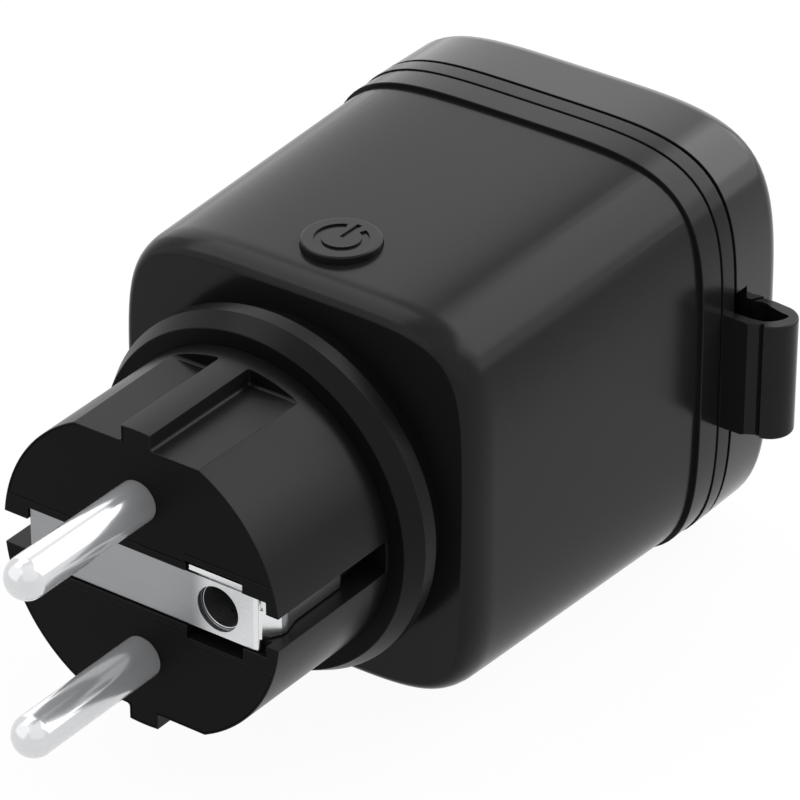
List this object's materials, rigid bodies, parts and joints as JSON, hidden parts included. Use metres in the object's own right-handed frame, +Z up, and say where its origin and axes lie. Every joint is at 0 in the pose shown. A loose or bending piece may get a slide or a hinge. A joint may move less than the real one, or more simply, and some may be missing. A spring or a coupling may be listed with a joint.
{
  "type": "smart plug",
  "caption": "Outdoor smart plug: square black housing with a round earthed plug in front, a power button on top and a side hinged cover over its rear socket.",
  "frame": {"origin": "centre of the plug face, midway between the two pins where they leave the face", "axes": "+Y runs back from the plug face to the rear cover, along the pins; +Z is up, the button side; +X is the hinge side"},
  "size_m": [0.0583, 0.1029, 0.0512],
  "materials": {
    "housing_black": "satin",
    "plug_black": "satin",
    "rubber_black": "soft matt",
    "pin_metal": "bright nickel",
    "strap_metal": "bright drawn strip",
    "contact_brass": "drawn",
    "steel": "bright",
    "board_green": "solder mask",
    "relay_blue": "moulded",
    "part_dark": "sleeved",
    "part_amber": "dipped",
    "part_blue": "dipped",
    "part_grey": "coated",
    "ferrite": "wound",
    "shield_tin": "tinned",
    "switch_pale": "moulded",
    "led_clear": "clear"
  },
  "bodies": {
    "housing": {"main_body": "housing_black", "plug_body": "plug_black", "pin_carrier": "plug_black", "seal_collar": "rubber_black", "live_pin": "pin_metal", "neutral_pin": "pin_metal", "earth_strap": "strap_metal", "earth_tube": "strap_metal", "earth_link": "strap_metal", "earth_clips": "strap_metal", "socket_insert": "plug_black", "live_contact": "contact_brass", "neutral_contact": "contact_brass", "body_gasket": "rubber_black", "hinge_ring": "housing_black", "housing_screws": "steel", "hinge_pin": "steel", "hinge_spring": "steel", "main_board": "board_green", "board_screws": "steel", "relay": "relay_blue", "storage_capacitor": "part_dark", "film_capacitor": "part_amber", "varistor": "part_blue", "fuse_resistor": "part_grey", "choke": "ferrite", "bridge_rectifier": "part_dark", "control_board": "board_green", "wifi_module": "shield_tin", "tact_switch": "part_dark", "status_led": "led_clear", "button_seal": "rubber_black"},
    "cover": {"lid": "housing_black", "lid_gasket": "rubber_black"},
    "button": {"button_cap": "housing_black"},
    "switch_plunger": {"tact_plunger": "switch_pale"}
  },
  "joints": [
    {"name": "lid_hinge", "type": "hinge", "parent": "housing", "child": "cover", "pos_m": [0.0299, 0.07395, 0], "axis": [0, 0, -1], "range_deg": [0, 110], "stiffness_Nm_per_rad": 0.01, "springref_deg": -85.94},
    {"name": "button_press", "type": "slide", "parent": "housing", "child": "button", "axis": [0, 0, -1], "range_m": [0, 0.0006], "stiffness_N_per_m": 200, "springref_m": -0.0015},
    {"name": "tact_press", "type": "slide", "parent": "housing", "child": "switch_plunger", "axis": [0, 0, -1], "range_m": [0, 0.0006]}
  ],
  "couplings": [
    {"joint": "tact_press", "follows": "button_press", "ratio": 1}
  ]
}
